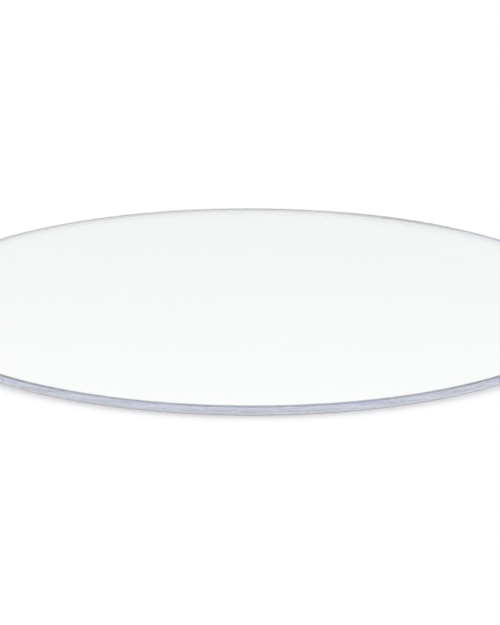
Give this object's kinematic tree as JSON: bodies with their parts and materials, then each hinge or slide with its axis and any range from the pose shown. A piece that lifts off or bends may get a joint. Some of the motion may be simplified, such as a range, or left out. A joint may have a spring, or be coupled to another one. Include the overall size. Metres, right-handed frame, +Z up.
{
  "type": "countertop mirror",
  "caption": "Frameless round mirror plate that lies flat on a counter, with a silvered back, a flat edge between ground arrises and a thin backing film.",
  "frame": {"origin": "centre of the plate, in the plane where its backing film meets the counter", "axes": "+Z up, out of the mirror face; X and Y lie in the counter, and the plate is the same all round, so their direction is free"},
  "size_m": [0.25, 0.25, 0.0032],
  "materials": {
    "clear_glass": "polished",
    "silver": "polished",
    "copper": "satin",
    "primer": "matte",
    "backing_paint": "matte",
    "seal_lacquer": "satin",
    "adhesive": "satin",
    "film": "matte"
  },
  "bodies": {
    "root": {"glass_plate": "clear_glass", "silver_layer": "silver", "copper_layer": "copper", "primer_coat": "primer", "top_coat": "backing_paint", "edge_seal": "seal_lacquer", "film_adhesive": "adhesive", "backing_film": "film"}
  },
  "joints": []
}
